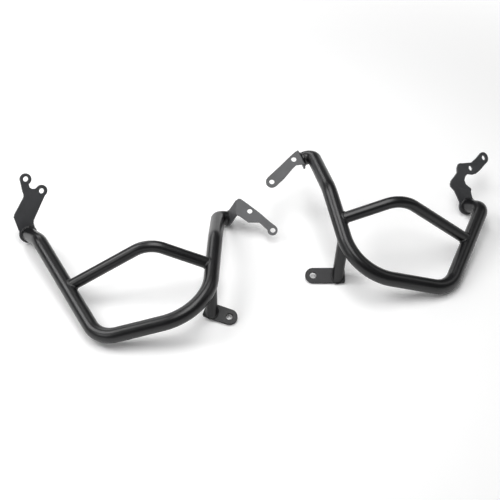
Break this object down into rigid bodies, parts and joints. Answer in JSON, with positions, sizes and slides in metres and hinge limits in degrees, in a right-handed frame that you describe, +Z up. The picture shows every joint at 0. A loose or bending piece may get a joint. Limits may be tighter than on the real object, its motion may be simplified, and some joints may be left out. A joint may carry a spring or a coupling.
{
  "type": "motorcycle crash bars",
  "caption": "Pair of bent and welded steel tube engine guards, each a lower loop with a cranked brace, a strut with a bolt tab, and drilled end plates.",
  "frame": {"origin": "centre of the footprint of the pair, on the floor both bars lie on", "axes": "+X from the left bar to the right bar, +Y towards the rear end brackets, +Z up from the floor"},
  "size_m": [0.9611, 0.4706, 0.145],
  "materials": {
    "tube_coat": "satin",
    "plate_coat": "matte",
    "weld_coat": "satin"
  },
  "bodies": {
    "root": {"left_main_tube": "tube_coat", "left_brace_tube": "tube_coat", "left_strut_tube": "tube_coat", "left_lower_tab": "plate_coat", "left_front_plate": "plate_coat", "left_rear_bracket": "plate_coat", "left_front_weld": "weld_coat", "left_rear_weld": "weld_coat", "left_brace_front_weld": "weld_coat", "left_brace_rear_weld": "weld_coat", "left_strut_top_weld": "weld_coat", "left_strut_foot_weld": "weld_coat", "right_main_tube": "tube_coat", "right_brace_tube": "tube_coat", "right_strut_tube": "tube_coat", "right_lower_tab": "plate_coat", "right_front_plate": "plate_coat", "right_rear_bracket": "plate_coat", "right_front_weld": "weld_coat", "right_rear_weld": "weld_coat", "right_brace_front_weld": "weld_coat", "right_brace_rear_weld": "weld_coat", "right_strut_top_weld": "weld_coat", "right_strut_foot_weld": "weld_coat"}
  },
  "joints": []
}
